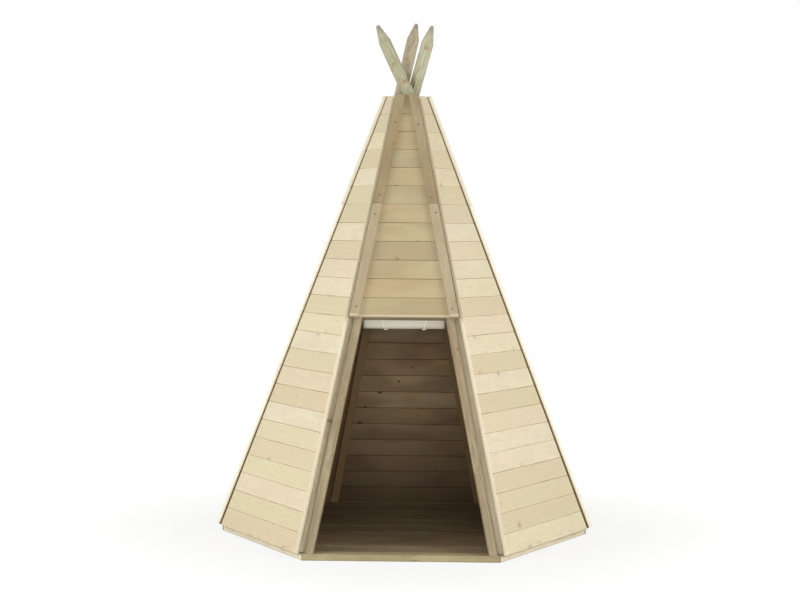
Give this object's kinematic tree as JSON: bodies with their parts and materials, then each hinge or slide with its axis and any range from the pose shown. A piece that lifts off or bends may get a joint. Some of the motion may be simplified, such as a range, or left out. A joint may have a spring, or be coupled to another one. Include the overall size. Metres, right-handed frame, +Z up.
{
  "type": "wooden play teepee",
  "caption": "Child's hexagonal play teepee of pine boards on a boarded floor, with crossed pointed stakes at the top and a canvas door rolled up under the lintel.",
  "frame": {"origin": "On the ground under the middle of the floor, which is the centre of the hexagon.", "axes": "+Z up. The doorway faces -Y, and +X is to the right of someone who looks at it from outside."},
  "size_m": [1.7502, 1.4843, 2.3708],
  "materials": {
    "pine_boards": "planed, pressure-treated softwood, unpainted",
    "pine_battens": "planed, pressure-treated softwood, unpainted",
    "pine_posts": "planed, pressure-treated softwood, unpainted",
    "pine_rim": "planed, pressure-treated softwood, unpainted",
    "pine_floor": "planed, pressure-treated softwood, unpainted",
    "pine_poles": "machine-rounded softwood, pressure-treated, unpainted",
    "canvas": "plain woven cotton canvas",
    "cord": "round woven cotton cord"
  },
  "bodies": {
    "root": {"rim_front": "pine_rim", "rim_right": "pine_rim", "rim_back_right": "pine_rim", "rim_back": "pine_rim", "rim_back_left": "pine_rim", "rim_left": "pine_rim", "floor_boards": "pine_floor", "floor_bearer_left": "pine_rim", "floor_bearer_centre": "pine_rim", "floor_bearer_right": "pine_rim", "wall_boards_front": "pine_boards", "wall_boards_right": "pine_boards", "wall_boards_back_right": "pine_boards", "wall_boards_back": "pine_boards", "wall_boards_back_left": "pine_boards", "wall_boards_left": "pine_boards", "crown_boards_front": "pine_boards", "crown_boards_right": "pine_boards", "crown_boards_back_right": "pine_boards", "crown_boards_back": "pine_boards", "crown_boards_back_left": "pine_boards", "crown_boards_left": "pine_boards", "door_post_left": "pine_posts", "door_post_right": "pine_posts", "door_lintel": "pine_posts", "rail_right_left": "pine_posts", "rail_right_right": "pine_posts", "rail_back_right_left": "pine_posts", "rail_back_right_right": "pine_posts", "rail_back_left": "pine_posts", "rail_back_right": "pine_posts", "rail_back_left_left": "pine_posts", "rail_back_left_right": "pine_posts", "rail_left_left": "pine_posts", "rail_left_right": "pine_posts", "batten_front_left": "pine_battens", "batten_front_right": "pine_battens", "batten_back_right_left": "pine_battens", "batten_back_right_right": "pine_battens", "batten_back_left_left": "pine_battens", "batten_back_left_right": "pine_battens", "crown_batten_front_left": "pine_battens", "crown_batten_front_right": "pine_battens", "crown_batten_back_right_left": "pine_battens", "crown_batten_back_right_right": "pine_battens", "crown_batten_back_left_left": "pine_battens", "crown_batten_back_left_right": "pine_battens", "pole_left": "pine_poles", "pole_back": "pine_poles", "pole_right": "pine_poles", "door_canvas": "canvas"},
    "door_roll": {"door_canvas_roll": "canvas", "door_tie_left": "cord", "door_tie_right": "cord"}
  },
  "joints": [
    {"name": "door_unroll", "type": "slide", "parent": "root", "child": "door_roll", "axis": [0, 0, -1], "range_m": [0, 0.93], "deforming": ["door_canvas"]}
  ]
}
